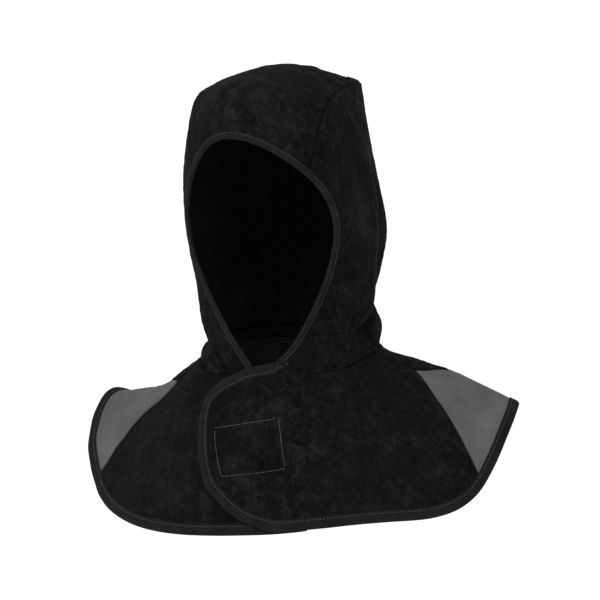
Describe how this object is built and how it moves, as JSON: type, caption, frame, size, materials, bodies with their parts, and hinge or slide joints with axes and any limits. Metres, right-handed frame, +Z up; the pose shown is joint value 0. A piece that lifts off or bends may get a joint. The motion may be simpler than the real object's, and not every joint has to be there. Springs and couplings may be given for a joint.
{
  "type": "leather welding hood",
  "caption": "Suede leather hood with an open face and a flared shoulder cape that wraps over at the front; cloth shoulder gussets and tape-bound edges.",
  "frame": {"origin": "where the inside of the crown rests on the top of the wearer's head", "axes": "+Z up, -Y the way the wearer looks, +X the wearer's left"},
  "size_m": [0.3977, 0.267, 0.3959],
  "materials": {
    "suede_leather": "split-leather suede, near black, rough and napped, with paler scuffs",
    "gusset_cloth": "grey woven flame-retardant cotton, matte",
    "binding_tape": "charcoal woven tape, matte, one row of paler stitching",
    "hook_and_loop": "black hook-and-loop pad, matte"
  },
  "bodies": {
    "root": {"hood_crown_panel": "suede_leather", "hood_side_left": "suede_leather", "hood_side_right": "suede_leather", "cape_front_left": "suede_leather", "cape_front_right": "suede_leather", "cape_back": "suede_leather", "shoulder_gusset_left": "gusset_cloth", "shoulder_gusset_right": "gusset_cloth", "face_binding": "binding_tape", "cape_binding": "binding_tape", "closure_patch": "hook_and_loop"}
  },
  "joints": []
}
